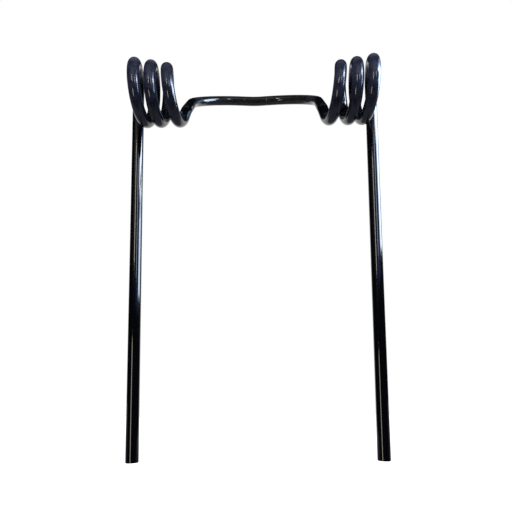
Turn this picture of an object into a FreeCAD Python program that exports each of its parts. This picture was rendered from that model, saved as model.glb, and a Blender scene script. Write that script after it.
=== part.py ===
import FreeCAD, Part
import math
import os

# A double-coil harrow tine, bent cold from one round spring-steel bar.
# Frame: +X along the crossbar, +Y from the coils back to the crossbar, +Z up.
# The origin is on the bar's centreline at the middle of the crossbar, where a clamp seats.

os.makedirs("parts", exist_ok=True)
doc = FreeCAD.newDocument("harrow_tine")

# Driving sizes, in millimetres
sizes = [
    ("bar_diameter", 12.7, "round bar, with its paint"),
    ("leg_length", 375.0, "from the coil axis down to the cut tip"),
    ("leg_spacing", 268.5, "between the legs' centrelines where they meet the coils"),
    ("tip_spacing", 239.5, "between the legs' centrelines at the tips"),
    ("tip_chamfer", 0.6, "broken edge round each cut tip"),
    ("outer_coil_radius", 31.5, "centreline radius where the leg joins the coil"),
    ("inner_coil_radius", 27.0, "centreline radius where the arm leaves the coil"),
    ("coil_turns", 3, "times that the bar passes over the top of its coil"),
    ("outer_pitch", 20.0, "advance of the turn next to the leg"),
    ("middle_pitch", 13.5, "advance of the middle turn"),
    ("inner_pitch", 23.0, "advance of the turn next to the arm"),
    ("coil_rise", 5.0, "height of the coil's outer end over its inner end"),
    ("exit_angle", -24.0, "degrees up from straight back, where the arm leaves the coil"),
    ("knee_height", 12.0, "from there, straight on, to where the lines of the arm's two parts meet"),
    ("knee_radius", 27.0, "centreline bend of the arm's knee"),
    ("arm_reach", 148.0, "from the coil axis back to the crossbar"),
    ("arm_rise", 89.5, "from the coil axis up to where the arm's and crossbar's lines meet"),
    ("crossbar_length", 170.0, "between the two points where the arms' and crossbar's lines meet"),
    ("corner_radius", 60.0, "centreline bend between arm and crossbar"),
    ("seat_dip", 5.0, "how far the crossbar's line falls from those points to its middle"),
    ("seat_radius", 150.0, "centreline bend of the seat at the crossbar's middle"),
]
sheet = doc.addObject("Spreadsheet::Sheet", "sizes")
for row, (alias, value, meaning) in enumerate(sizes, start=1):
    sheet.set(f"A{row}", meaning)
    sheet.set(f"B{row}", str(value))
    sheet.setAlias(f"B{row}", alias)
doc.recompute()

# How the bar's line is drawn
corner_angle = 30.0  # each turn of a coil is a rounded polygon with a corner about this often
arc_share = 0.45  # part of a side that the rounding of each of its corners takes
usable_run = 0.96  # part of a run that the bends at its two ends may take together
straight_turn = 1e-4  # radians, below which a corner is no corner


def size(alias):
    return float(sheet.get(alias))


def pitch_at(share):
    """Advance per turn at a share of the way through the coil."""
    stations = [(1 / 6, size("outer_pitch")), (1 / 2, size("middle_pitch")), (5 / 6, size("inner_pitch"))]
    if share <= stations[0][0]:
        return stations[0][1]
    for (start, before), (end, after) in zip(stations, stations[1:]):
        if share <= end:
            return before + (after - before) * (share - start) / (end - start)
    return stations[-1][1]


def coil_and_knee():
    """Corners of the left coil's line, from the leg over the top and round, and of the arm's knee."""
    full_turns = 360 * size("coil_turns")
    sweep = full_turns + size("exit_angle")
    count = round(sweep / corner_angle)
    step = sweep / count
    corner_factor = 1 / math.cos(math.radians(step / 2))
    advance = pitch_at(0) * step / 720
    corners = []
    for index in range(count):
        angle = step * (index + 0.5)
        share = angle / sweep
        radius = size("outer_coil_radius") * (1 - share) + size("inner_coil_radius") * share
        corners.append(FreeCAD.Vector(
            advance - size("leg_spacing") / 2,
            radius * corner_factor * math.cos(math.radians(angle)),
            radius * corner_factor * math.sin(math.radians(angle)) + size("coil_rise") * (1 - share),
        ))
        advance += pitch_at((angle + step / 2) / full_turns) * step / 360
    leaving = FreeCAD.Vector(
        pitch_at(1) / (2 * math.pi * size("inner_coil_radius")),
        -math.sin(math.radians(sweep)),
        math.cos(math.radians(sweep)),
    ).normalize()
    half_side = size("inner_coil_radius") * math.tan(math.radians(step / 2))
    return corners + [corners[-1] + leaving * (half_side + size("knee_height"))]


def bend_reaches(points, radii):
    """How far each bend runs along its two sides. A radius of None is as large as the sides allow."""
    runs = [end - start for start, end in zip(points, points[1:])]
    wanted = [0.0]
    for before, after, radius in zip(runs, runs[1:], radii[1:]):
        if radius is None:
            wanted.append(arc_share * min(before.Length, after.Length))
        else:
            wanted.append(radius * math.tan(before.getAngle(after) / 2))
    wanted.append(0.0)
    reaches = list(wanted)
    for index, run in enumerate(runs):
        together = wanted[index] + wanted[index + 1]
        if together > usable_run * run.Length:
            for end in (index, index + 1):
                reaches[end] = min(reaches[end], wanted[end] * usable_run * run.Length / together)
    return reaches


def rounded_wire(points, radii):
    """Straight runs joined by tangent arcs."""
    edges = []
    start = points[0]
    for index, reach in enumerate(bend_reaches(points, radii)[1:-1], start=1):
        into = (points[index] - points[index - 1]).normalize()
        out_of = (points[index + 1] - points[index]).normalize()
        half_turn = into.getAngle(out_of) / 2
        if half_turn < straight_turn:
            continue
        first = points[index] - into * reach
        last = points[index] + out_of * reach
        depth = reach * (1 / math.sin(half_turn) - 1 / math.tan(half_turn))
        middle = points[index] + (out_of - into).normalize() * depth
        edges.append(Part.LineSegment(start, first).toShape())
        edges.append(Part.Arc(first, middle, last).toShape())
        start = last
    edges.append(Part.LineSegment(start, points[-1]).toShape())
    return Part.Wire(edges)


def bar_line():
    """Centreline of the whole bar, from the left tip through both coils to the right tip."""
    seat_height = size("arm_rise") - size("seat_dip")
    to_origin = FreeCAD.Vector(0, -size("arm_reach"), -seat_height)
    tip = FreeCAD.Vector(-size("tip_spacing") / 2, size("outer_coil_radius"), -size("leg_length"))
    corner = FreeCAD.Vector(-size("crossbar_length") / 2, size("arm_reach"), size("arm_rise"))
    coil = coil_and_knee()
    left = [tip] + coil + [corner]
    left_radii = [0] + [None] * (len(coil) - 1) + [size("knee_radius"), size("corner_radius")]
    seat = FreeCAD.Vector(0, size("arm_reach"), seat_height)
    right = [FreeCAD.Vector(-point.x, point.y, point.z) for point in reversed(left)]
    points = [point + to_origin for point in left + [seat] + right]
    return rounded_wire(points, left_radii + [size("seat_radius")] + left_radii[::-1])


line = doc.addObject("Part::Feature", "BarLine")
line.Label = "bar_line"
line.Shape = bar_line()

# Round section, square to the left leg at its tip
section = doc.addObject("Part::Circle", "BarSection")
section.Label = "bar_section"
section.setExpression("Radius", "sizes.bar_diameter / 2")
first_edge = line.Shape.Edges[0]
leg_direction = first_edge.tangentAt(first_edge.FirstParameter)
section.Placement = FreeCAD.Placement(
    first_edge.Vertexes[0].Point,
    FreeCAD.Rotation(FreeCAD.Vector(0, 0, 1), leg_direction),
)

bar = doc.addObject("Part::Sweep", "Bar")
bar.Label = "bent_bar"
bar.Sections = [section]
bar.Spine = (line, [f"Edge{number}" for number in range(1, len(line.Shape.Edges) + 1)])
bar.Solid = True
bar.Frenet = False
doc.recompute()


def tip_edges(shape):
    """Numbers of the circles round the two lowest faces, the cut tips."""
    faces = sorted(shape.Faces, key=lambda face: face.CenterOfMass.z)[:2]
    rims = [face.Edges[0] for face in faces]
    return [
        number
        for number, edge in enumerate(shape.Edges, start=1)
        if any(edge.isSame(rim) for rim in rims)
    ]


tine = doc.addObject("Part::Chamfer", "Tine")
tine.Label = "spring_tine"
tine.Base = bar
tine.Edges = [(number, size("tip_chamfer"), size("tip_chamfer")) for number in tip_edges(bar.Shape)]
doc.recompute()

for item in doc.Objects:
    if "Invalid" in item.State or "Error" in item.State:
        raise RuntimeError(f"{item.Label} failed: {item.State}")
if tine.Shape.isNull() or not tine.Shape.isValid() or len(tine.Shape.Solids) != 1:
    raise RuntimeError("spring_tine is not one valid solid")

section_area = math.pi * (size("bar_diameter") / 2) ** 2
print(f"bar length {line.Shape.Length:.1f} mm")
print(f"volume {tine.Shape.Volume:.0f} mm3, section times length {section_area * line.Shape.Length:.0f} mm3")
tine.Shape.exportStep(f"parts/{tine.Label}.step")
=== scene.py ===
import bpy
import bmesh
import math
from mathutils import Matrix, Vector, noise


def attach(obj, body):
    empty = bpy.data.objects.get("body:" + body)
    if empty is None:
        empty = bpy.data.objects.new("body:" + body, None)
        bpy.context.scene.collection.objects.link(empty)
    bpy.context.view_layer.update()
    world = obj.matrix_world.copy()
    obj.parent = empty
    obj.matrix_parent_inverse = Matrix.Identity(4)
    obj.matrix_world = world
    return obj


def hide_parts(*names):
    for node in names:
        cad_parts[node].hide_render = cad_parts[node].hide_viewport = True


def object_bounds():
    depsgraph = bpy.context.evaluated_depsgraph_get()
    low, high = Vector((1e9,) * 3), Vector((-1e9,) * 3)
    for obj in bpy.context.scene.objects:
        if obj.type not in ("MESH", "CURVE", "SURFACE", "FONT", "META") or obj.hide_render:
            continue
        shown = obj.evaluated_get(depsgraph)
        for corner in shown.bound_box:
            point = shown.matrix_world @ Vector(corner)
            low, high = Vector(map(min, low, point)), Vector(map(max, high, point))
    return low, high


# Harrow tine: one round spring-steel bar with a coil over each leg, in gloss black enamel.
# Everything is in metres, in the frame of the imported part: the origin is the middle of the crossbar.

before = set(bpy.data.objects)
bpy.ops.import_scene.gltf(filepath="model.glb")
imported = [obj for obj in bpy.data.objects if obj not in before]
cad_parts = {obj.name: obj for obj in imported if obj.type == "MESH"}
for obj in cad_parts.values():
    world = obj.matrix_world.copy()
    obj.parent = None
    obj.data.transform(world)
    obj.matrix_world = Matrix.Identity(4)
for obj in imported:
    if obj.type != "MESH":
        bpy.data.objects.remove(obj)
cadLow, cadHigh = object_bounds()
print("frame loaded:", sorted(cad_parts))

mm = 0.001


# sRGB hex to linear RGBA
def hexColor(code):
    channels = [int(code[i:i + 2], 16) / 255 for i in (1, 3, 5)]
    linear = [c / 12.92 if c <= 0.04045 else ((c + 0.055) / 1.055) ** 2.4 for c in channels]
    return (*linear, 1.0)


# Adds one node, sets its properties, then fills or links its sockets by name or number
def addNode(tree, kind, settings=None, inputs=None):
    node = tree.nodes.new(kind)
    for name, value in (settings or {}).items():
        setattr(node, name, value)
    for name, value in (inputs or {}).items():
        if isinstance(value, bpy.types.NodeSocket):
            tree.links.new(value, node.inputs[name])
        else:
            node.inputs[name].default_value = value
    return node


# 0 below one value, 1 above the other, and a soft step between them
def softStep(tree, value, start, end):
    return addNode(tree, "ShaderNodeMapRange", {"interpolation_type": "SMOOTHSTEP"}, {
        "Value": value, "From Min": start, "From Max": end,
    }).outputs["Result"]


def multiply(tree, first, second):
    return addNode(tree, "ShaderNodeMath", {"operation": "MULTIPLY"}, {0: first, 1: second}).outputs[0]


def larger(tree, first, second):
    return addNode(tree, "ShaderNodeMath", {"operation": "MAXIMUM"}, {0: first, 1: second}).outputs[0]


# Sockets 6 and 7 are the two colours of a mix
def mixColors(tree, factor, first, second):
    inputs = {0: factor, 6: first, 7: second}
    return addNode(tree, "ShaderNodeMix", {"data_type": "RGBA"}, inputs).outputs[2]


def mixShaders(tree, factor, first, second):
    return addNode(tree, "ShaderNodeMixShader", inputs={0: factor, 1: first, 2: second}).outputs[0]


# The bar's line

bar = {
    "diameter": 12.66 * mm,  # over the paint, a hair inside the solid
    "legLength": 375 * mm,  # coil axis down to the tip
    "legSpacing": 268.5 * mm,  # where the legs meet the coils
    "tipSpacing": 239.5 * mm,
    "tipChamfer": 0.6 * mm,
    "outerCoilRadius": 31.5 * mm,
    "innerCoilRadius": 27 * mm,
    "turns": 3,
    "pitches": (20 * mm, 13.5 * mm, 23 * mm),  # outer, middle and inner turn
    "coilRise": 5 * mm,  # outer end over inner end
    "armReach": 148 * mm,  # coil axis back to the crossbar
    "armRise": 89.5 * mm,  # coil axis up to where the arm's and crossbar's lines meet
    "exitAngle": -24,  # degrees up from straight back, where the arm leaves the coil
    "kneeHeight": 12 * mm,  # from there, straight on, to where the arm's two parts meet
    "kneeRadius": 27 * mm,
    "crossbarLength": 170 * mm,  # between the two places where those lines meet
    "cornerRadius": 60 * mm,
    "seatDip": 5 * mm,  # how far the crossbar falls to its middle
    "seatRadius": 150 * mm,
    "coilCorner": 30,  # degrees between control points round a coil
    "bendCorner": 15,  # the same in the other bends
    "legPoints": 16,  # control points down a leg
    "spanSteps": 8,  # rings in each span of the line
    "sides": 48,  # faces round the bar
    "ripple": 0.035 * mm,  # how deep the drawn bar's unevenness goes
    "rippleLength": 28 * mm,
}


# Advance per turn at a share of the way through a coil. Each pitch holds in the middle of its turn,
# at a sixth, a half and five sixths of the way.
def pitchAt(share):
    outer, middle, inner = bar["pitches"]
    if share < 1 / 2:
        return outer + (middle - outer) * min(max((share - 1 / 6) * 3, 0), 1)
    return middle + (inner - middle) * min(max((share - 1 / 2) * 3, 0), 1)


# Control points of the left coil, from the leg over the top and round to the arm, and the place
# where the lines of the arm's knee meet
def coilPoints():
    fullTurns = 360 * bar["turns"]
    sweep = fullTurns + bar["exitAngle"]
    count = round(sweep / bar["coilCorner"])
    step = sweep / count
    widen = 1 / math.cos(math.radians(step / 2))  # so that the sides of the polygon touch the coil
    advance = pitchAt(0) * step / 2 / 360  # the first point stands half a step round
    points = []
    for index in range(count):
        angle = step * (index + 0.5)
        share = angle / sweep
        radius = (bar["outerCoilRadius"] * (1 - share) + bar["innerCoilRadius"] * share) * widen
        points.append(Vector((
            advance - bar["legSpacing"] / 2,
            radius * math.cos(math.radians(angle)),
            radius * math.sin(math.radians(angle)) + bar["coilRise"] * (1 - share),
        )))
        advance += pitchAt((angle + step / 2) / fullTurns) * step / 360
    leaving = Vector((
        pitchAt(1) / (2 * math.pi * bar["innerCoilRadius"]),
        -math.sin(math.radians(sweep)),
        math.cos(math.radians(sweep)),
    )).normalized()
    halfSide = bar["innerCoilRadius"] * math.tan(math.radians(step / 2))
    return points, points[-1] + leaving * (halfSide + bar["kneeHeight"])


# Control points that take the line round a corner at that radius
def bendPoints(before, corner, after, radius):
    into = (corner - before).normalized()
    outOf = (after - corner).normalized()
    turn = into.angle(outOf)
    count = max(1, round(math.degrees(turn) / bar["bendCorner"]))
    step = turn / count
    reach = radius * math.tan(turn / 2)
    side = radius * math.tan(step / 2)
    axis = into.cross(outOf).normalized()
    start = corner - into * reach
    centre = start + axis.cross(into) * radius
    points = [start - into * side]
    for index in range(count):
        spoke = (start - centre) / math.cos(step / 2)
        points.append(centre + Matrix.Rotation(step * (index + 0.5), 3, axis) @ spoke)
    points.append(corner + outOf * (reach + side))
    return points


# The whole bar, from the left tip to the right one. It is drawn from the middle of the coils' axis,
# then moved so that the seat is the origin.
def controlPoints():
    seatHeight = bar["armRise"] - bar["seatDip"]
    tip = Vector((-bar["tipSpacing"] / 2, bar["outerCoilRadius"], -bar["legLength"]))
    corner = Vector((-bar["crossbarLength"] / 2, bar["armReach"], bar["armRise"]))
    seat = Vector((0, bar["armReach"], seatHeight))
    coil, knee = coilPoints()
    legTop = coil[0] + (tip - coil[0]).normalized() * (coil[1] - coil[0]).length
    leg = [tip.lerp(legTop, index / bar["legPoints"]) for index in range(bar["legPoints"] + 1)]
    left = leg + coil
    left += bendPoints(coil[-1], knee, corner, bar["kneeRadius"])
    left += bendPoints(knee, corner, seat, bar["cornerRadius"])
    mirrored = Matrix.Diagonal((-1, 1, 1))
    right = [mirrored @ point for point in reversed(left)]
    middle = bendPoints(left[-1], seat, right[0], bar["seatRadius"])
    toOrigin = Vector((0, -bar["armReach"], -seatHeight))
    return [point + toOrigin for point in left + middle + right]


# The place where the broken edge of a tip ends
def stepTo(tip, inward):
    return tip + (inward - tip).normalized() * bar["tipChamfer"]


# Smooth centreline, as the points of a NURBS curve read back along its length
def barLine():
    points = controlPoints()
    curve = bpy.data.curves.new("barLine", "CURVE")
    curve.dimensions = "3D"
    spline = curve.splines.new("NURBS")
    spline.points.add(len(points) - 1)
    for place, point in zip(spline.points, points):
        place.co = (*point, 1)
    spline.order_u = 3
    spline.use_endpoint_u = True
    spline.resolution_u = bar["spanSteps"]
    holder = bpy.data.objects.new("barLine", curve)
    mesh = bpy.data.meshes.new_from_object(holder)
    line = [vertex.co.copy() for vertex in mesh.vertices]
    bpy.data.objects.remove(holder)
    bpy.data.curves.remove(curve)
    bpy.data.meshes.remove(mesh)
    return [line[0], stepTo(line[0], line[1])] + line[1:-1] + [stepTo(line[-1], line[-2]), line[-1]]


# Circles carried along the line without twist, then bridged. The layer straightBar keeps
# each point's place on the bar before it was bent: x and y across it, z along it.
def sweepBar(line):
    work = bmesh.new()
    straight = work.verts.layers.float_vector.new("straightBar")
    last = len(line) - 1
    heading = Vector((0, 0, 1))
    turned = Matrix.Identity(4)
    travelled = 0.0
    for index, centre in enumerate(line):
        before, after = line[max(index - 1, 0)], line[min(index + 1, last)]
        travelled += (centre - before).length
        ahead = (after - before).normalized()
        turned = heading.rotation_difference(ahead).to_matrix().to_4x4() @ turned
        heading = ahead
        radius = bar["diameter"] / 2 - (bar["tipChamfer"] if index in (0, last) else 0)
        circle = bmesh.ops.create_circle(work, segments=bar["sides"], radius=radius)["verts"]
        place = Matrix.Translation(centre) @ turned
        for vert in circle:
            onBar = Vector((vert.co.x, vert.co.y, travelled))
            vert[straight] = onBar
            dent = bar["ripple"] * (noise.noise(onBar / bar["rippleLength"]) + 1) / 2
            vert.co = place @ (vert.co * (1 - dent / radius))
    bmesh.ops.bridge_loops(work, edges=work.edges[:])
    return work, travelled


# Flat cut ends, with hard rims where the broken edge starts and stops
def closeTips(work):
    rims = [edge for edge in work.edges if edge.is_boundary]
    caps = bmesh.ops.holes_fill(work, edges=rims, sides=0)["faces"]
    for cap in caps:
        cap.smooth = False
        for edge in cap.edges:
            edge.smooth = False
            side = next(face for face in edge.link_faces if face is not cap)
            across = next(other for other in side.edges if not set(other.verts) & set(edge.verts))
            across.smooth = False


line = barLine()
work, barLength = sweepBar(line)
for face in work.faces:
    face.smooth = True
closeTips(work)
bmesh.ops.recalc_face_normals(work, faces=work.faces)
mesh = bpy.data.meshes.new("springTine")
work.to_mesh(mesh)
work.free()
tine = bpy.data.objects.new("springTine", mesh)
bpy.context.scene.collection.objects.link(tine)
print("bar swept:", round(barLength / mm, 1), "mm long,", len(mesh.polygons), "faces")


# Gloss black enamel, sprayed over drawn spring steel, and dust on the coils and the crossbar, with
# painted sheen on the coils' upper fronts and tops

enamel = {
    "color": "#06070B",
    "roughness": 0.08,  # where it is clean
    "dustyRoughness": 0.2,  # under the most dust
    "ior": 1.5,
    "drawLine": 2.2 * mm,  # from one draw line to the next, round the bar, coarse enough to show
    "drawLineRun": 140 * mm,  # how far one runs along it
    "drawDepth": 0.002 * mm,
    "drawDetail": 2.0,
}

# Each pair is where the dust, or the painted sheen on the coils, starts and where it is full
dust = {
    "color": "#363A50",  # on the coils; partly dust, partly a painted sheen of light from above
    "paintedTopSheenColor": "#8C8CA4",  # painted sheen: paler on their tops, as the sky above would light them
    "crossbarColor": "#40403E",
    "coilFront": (-125 * mm, -150 * mm),  # y
    "dustAndSheenHeight": (-130 * mm, -72 * mm),  # z: it lies on their upper halves, painted lighter there as light from above would make them
    "paintedTopSheenHeight": (-64 * mm, -44 * mm),  # z: the painted sheen on their tops
    "crossbar": (-60 * mm, -25 * mm),  # y
    "crossbarShare": 0.35,  # of what lies on the coils
    "cloud": 7 * mm,  # size of its patches
    "cloudDetail": 3.0,
    "patch": (0.35, 0.6),  # value of the noise
    "thin": 0.5,  # share left where it is thinnest
}


# Faint lines along the bar, from drawing it
def enamelBump(tree, onBar):
    drawn = addNode(tree, "ShaderNodeMapping", inputs={
        "Vector": onBar,
        "Scale": (1 / enamel["drawLine"], 1 / enamel["drawLine"], 1 / enamel["drawLineRun"]),
    }).outputs["Vector"]
    lines = addNode(tree, "ShaderNodeTexNoise", inputs={
        "Vector": drawn, "Scale": 1.0, "Detail": enamel["drawDetail"],
    })
    return addNode(tree, "ShaderNodeBump", inputs={
        "Height": lines.outputs[0], "Strength": 1.0, "Distance": enamel["drawDepth"],
    }).outputs["Normal"]


# How much dust lies on a place, and its colour: most on the upper fronts of the coils, less on the
# crossbar. On the coils the colour is also painted sheen, lighter on their upper fronts and palest on
# their tops, where light from above would fall.
def layDustAndSheen(tree):
    place = addNode(tree, "ShaderNodeTexCoord").outputs["Object"]
    split = addNode(tree, "ShaderNodeSeparateXYZ", inputs={"Vector": place})
    front = softStep(tree, split.outputs["Y"], *dust["coilFront"])
    upper = softStep(tree, split.outputs["Z"], *dust["dustAndSheenHeight"])
    back = softStep(tree, split.outputs["Y"], *dust["crossbar"])
    lying = larger(tree, multiply(tree, front, upper), multiply(tree, back, dust["crossbarShare"]))
    cloud = addNode(tree, "ShaderNodeTexNoise", inputs={
        "Vector": place, "Scale": 1 / dust["cloud"], "Detail": dust["cloudDetail"],
    })
    bare, full = dust["patch"]
    patches = addNode(tree, "ShaderNodeMapRange", inputs={
        "Value": cloud.outputs[0], "From Min": bare, "From Max": full, "To Min": dust["thin"],
    })
    # painted sheen: the coils' tops are mixed paler, as the sky above would light them
    top = softStep(tree, split.outputs["Z"], *dust["paintedTopSheenHeight"])
    color = mixColors(tree, top, hexColor(dust["color"]), hexColor(dust["paintedTopSheenColor"]))
    color = mixColors(tree, back, color, hexColor(dust["crossbarColor"]))
    return multiply(tree, lying, patches.outputs["Result"]), color


# Sprayed enamel is a deep black that mirrors the room sharply. Dust makes it bluish grey and blurs what
# it mirrors. On the coils that bluish grey is also painted sheen, palest on their tops.
def blackEnamel():
    material = bpy.data.materials.new("glossBlackEnamel")
    material.use_nodes = True
    tree = material.node_tree
    tree.nodes.clear()
    onBar = addNode(tree, "ShaderNodeAttribute", {"attribute_name": "straightBar"}).outputs["Vector"]
    dustAndSheenShare, dustAndSheenColor = layDustAndSheen(tree)
    # dust colour over the black, carrying the painted sheen on the coils' upper fronts and tops
    color = mixColors(tree, dustAndSheenShare, hexColor(enamel["color"]), dustAndSheenColor)
    rough = addNode(tree, "ShaderNodeMapRange", inputs={
        "Value": dustAndSheenShare, "To Min": enamel["roughness"], "To Max": enamel["dustyRoughness"],
    }).outputs["Result"]
    shader = addNode(tree, "ShaderNodeBsdfPrincipled", inputs={
        "Base Color": color,
        "Roughness": rough,
        "IOR": enamel["ior"],
        "Normal": enamelBump(tree, onBar),
    })
    addNode(tree, "ShaderNodeOutputMaterial", inputs={"Surface": shader.outputs["BSDF"]})
    return material


mesh.materials.append(blackEnamel())
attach(tine, "root")
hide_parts("spring_tine")
print("tine finished")


# Camera, solved from the photograph: it stands low and looks up at the coils

view = {
    "lens": 36.5625,  # mm, as is the sensor's width
    "sensor": 36,
    "distance": 514.92 * mm,  # from the target
    "target": (0.45 * mm, -148 * mm, -265.45 * mm),  # between the legs
    "yaw": 0.593,  # degrees, as are the next two
    "pitch": 15.485,
    "roll": 0.534,
    "nearest": 0.01,  # what the camera still shows
    "farthest": 50,
}


def addCamera():
    data = bpy.data.cameras.new("camera")
    data.lens = view["lens"]
    data.sensor_width = view["sensor"]
    data.clip_start = view["nearest"]
    data.clip_end = view["farthest"]
    camera = bpy.data.objects.new("camera", data)
    bpy.context.scene.collection.objects.link(camera)
    turn = (Matrix.Rotation(math.radians(view["yaw"]), 4, "Z")
            @ Matrix.Rotation(math.radians(view["pitch"]), 4, "X")
            @ Matrix.Rotation(math.radians(view["roll"]), 4, "Y"))
    forward = turn @ Vector((0, 1, 0))
    place = Matrix.Translation(Vector(view["target"]) - forward * view["distance"])
    level = Matrix.Rotation(math.radians(90), 4, "X")  # an unturned camera looks straight down
    camera.matrix_world = place @ turn @ level
    bpy.context.scene.camera = camera


addCamera()


# Studio: a pale floor below the held tine and white behind it. The softbox lights it at a plain
# level. The windows show in the gloss only, and leave the level as it is.

studio = {
    "floorDrop": 130 * mm,  # below the tips
    "floorSize": 12,
    "floorColor": "#E6E6E6",
    "floorGlow": 0.75,  # added for the camera, so that the floor meets the white behind it
    "white": "#FFFFFF",
    "fillAbove": "#E8E8E8",
    "fillBelow": "#A0A0A0",
    "fillUp": (-0.4, 1.0),  # how far up a direction points where each of the two is full
}

# What the gloss sees of the room. Each pair is where a tone starts and where it is full: y on the
# floor, and elsewhere how far back or up a direction points, from -1 to 1.
room = {
    "dark": "#0B0C10",
    "under": "#7C7C8A",  # the floor below the tine
    "underY": (-0.4, -0.1),
    "whiteFloorY": (1.0, 3.5),  # the floor behind it
    "sky": "#4C4C5A",  # overhead
    "skyBack": (0.0, 0.25),
    "skyUp": (0.8, 0.95),
    "frontGlow": "#B8B8BA",  # high in front
    "frontGlowBack": (-0.4, -0.8),
    "frontGlowUp": (0.15, 0.5),
    "whiteBack": (0.8, 0.95),  # straight behind the tine
    "lowWhiteBack": (0.65, 0.8),  # wider, near the horizon
    "lowWhiteUp": (0.55, 0.4),
}

lamps = [
    # name, centre, size across and up, colour, radiance, shown in gloss
    ("softbox", (0.3, -0.7, 1.1), (1.0, 1.0), "#FFFFFF", 2.5, False),
    ("sideWindowHigh", (0.95, -0.1, 0.9), (1.3, 0.3), "#A8C2F4", 2.2, True),
    ("sideWindowTop", (0.95, -0.25, 0.65), (1.0, 0.2), "#B4D0FF", 9.0, True),
    ("sideWindow", (0.95, -0.25, 0.44), (1.0, 0.22), "#DCEEFF", 24.0, True),
    ("sideWindowLow", (0.95, -0.13, 0.145), (0.72, 0.37), "#D2E6FF", 20.0, True),
    ("sideSky", (0.93, 0.65, 0.65), (0.8, 0.8), "#86AEEC", 1.1, True),
    ("blueGlow", (0.42, -0.62, 0.04), (0.55, 0.4), "#6C93FF", 0.8, True),
    ("frontWindow", (-0.42, -1.5, 0.35), (0.17, 0.5), "#FFF4E4", 12.0, True),
    ("frontGap", (0.62, -1.4, 0.35), (0.15, 0.5), "#DDE6FF", 10.0, True),
    ("lowCard", (-0.35, -0.75, -0.42), (0.12, 0.3), "#FFF1DC", 7.0, True),
]
lampAim = Vector((0, -0.1, -0.15))  # the lamps that show in the gloss stand upright


# The power follows from the radiance, so that a lamp looks as bright at any size
def addLamp(name, centre, size, color, radiance, inGloss):
    data = bpy.data.lights.new(name, "AREA")
    data.shape = "RECTANGLE"
    data.size, data.size_y = size
    data.color = hexColor(color)[:3]
    data.energy = radiance * math.pi * size[0] * size[1]
    lamp = bpy.data.objects.new(name, data)
    lamp.location = centre
    towards = lampAim - Vector(centre)
    if inGloss:
        towards.z = 0
    lamp.rotation_euler = towards.to_track_quat("-Z", "Y").to_euler()
    lamp.visible_camera = False
    lamp.visible_glossy = inGloss
    lamp.visible_diffuse = not inGloss
    bpy.context.scene.collection.objects.link(lamp)


for lamp in lamps:
    addLamp(*lamp)


def addFloor():
    work = bmesh.new()
    bmesh.ops.create_grid(work, x_segments=1, y_segments=1, size=studio["floorSize"] / 2)
    bmesh.ops.translate(work, verts=work.verts, vec=(0, 0, cadLow.z - studio["floorDrop"]))
    mesh = bpy.data.meshes.new("floor")
    work.to_mesh(mesh)
    work.free()
    floor = bpy.data.objects.new("floor", mesh)
    bpy.context.scene.collection.objects.link(floor)
    mesh.materials.append(paleFloor())


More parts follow.
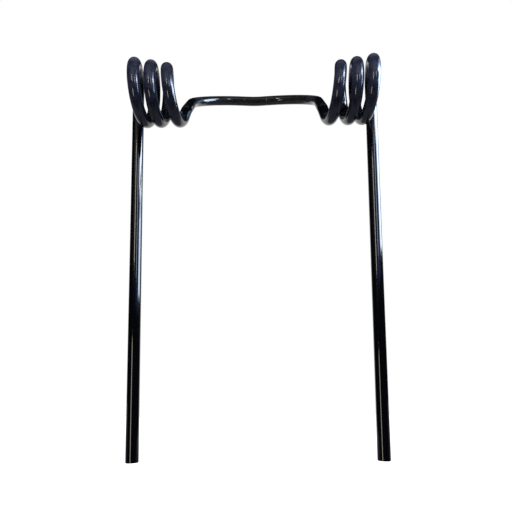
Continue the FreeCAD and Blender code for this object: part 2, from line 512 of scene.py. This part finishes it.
# Plain pale floor. In the gloss it is dark in front of the tine, grey below it and white behind it.
def paleFloor():
    material = bpy.data.materials.new("paleFloor")
    material.use_nodes = True
    tree = material.node_tree
    tree.nodes.clear()
    rays = addNode(tree, "ShaderNodeLightPath")
    place = addNode(tree, "ShaderNodeTexCoord").outputs["Object"]
    split = addNode(tree, "ShaderNodeSeparateXYZ", inputs={"Vector": place})
    under = softStep(tree, split.outputs["Y"], *room["underY"])
    behind = softStep(tree, split.outputs["Y"], *room["whiteFloorY"])
    color = mixColors(tree, under, hexColor(room["dark"]), hexColor(room["under"]))
    color = mixColors(tree, behind, color, hexColor(studio["white"]))
    inGloss = addNode(tree, "ShaderNodeEmission", inputs={"Color": color}).outputs[0]
    plain = addNode(tree, "ShaderNodeBsdfDiffuse", inputs={
        "Color": hexColor(studio["floorColor"]),
    }).outputs[0]
    glow =addNode(tree, "ShaderNodeEmission", inputs={
        "Color": hexColor(studio["white"]), "Strength": studio["floorGlow"],
    }).outputs[0]
    seen = addNode(tree, "ShaderNodeAddShader", inputs={0: plain, 1: glow}).outputs[0]
    clear = larger(tree, rays.outputs["Is Camera Ray"], rays.outputs["Is Transmission Ray"])
    surface = mixShaders(tree, rays.outputs["Is Glossy Ray"], plain, inGloss)
    surface = mixShaders(tree, clear, surface, seen)
    addNode(tree, "ShaderNodeOutputMaterial", inputs={"Surface": surface})
    return material


# White for the camera, and in the gloss straight behind the tine. Elsewhere the gloss sees a dark
# room, a dim sky overhead and a pale glow high in front. To all other rays it is a soft fill.
def addWorld():
    world = bpy.data.worlds.new("studio")
    bpy.context.scene.world = world
    world.use_nodes = True
    tree = world.node_tree
    tree.nodes.clear()
    rays = addNode(tree, "ShaderNodeLightPath")
    way = addNode(tree, "ShaderNodeTexCoord").outputs["Generated"]
    split = addNode(tree, "ShaderNodeSeparateXYZ", inputs={"Vector": way})
    toBack, toTop = split.outputs["Y"], split.outputs["Z"]
    up = multiply(tree, softStep(tree, toTop, *room["skyUp"]), softStep(tree, toBack, *room["skyBack"]))
    front = multiply(tree, softStep(tree, toBack, *room["frontGlowBack"]),
                     softStep(tree, toTop, *room["frontGlowUp"]))
    lowBehind = multiply(tree, softStep(tree, toBack, *room["lowWhiteBack"]),
                         softStep(tree, toTop, *room["lowWhiteUp"]))
    behind = larger(tree, softStep(tree, toBack, *room["whiteBack"]), lowBehind)
    inGloss = mixColors(tree, up, hexColor(room["dark"]), hexColor(room["sky"]))
    inGloss = mixColors(tree, front, inGloss, hexColor(room["frontGlow"]))
    inGloss = mixColors(tree, behind, inGloss, hexColor(studio["white"]))
    fill = mixColors(tree, softStep(tree, toTop, *studio["fillUp"]),
                     hexColor(studio["fillBelow"]), hexColor(studio["fillAbove"]))
    color = mixColors(tree, rays.outputs["Is Glossy Ray"], fill, inGloss)
    clear = larger(tree, rays.outputs["Is Camera Ray"], rays.outputs["Is Transmission Ray"])
    color = mixColors(tree, clear, color, hexColor(studio["white"]))
    light = addNode(tree, "ShaderNodeBackground", inputs={"Color": color, "Strength": 1.0})
    addNode(tree, "ShaderNodeOutputWorld", inputs={"Surface": light.outputs["Background"]})


addFloor()
addWorld()
bpy.context.scene.view_settings.view_transform = "Standard"
print("studio ready")
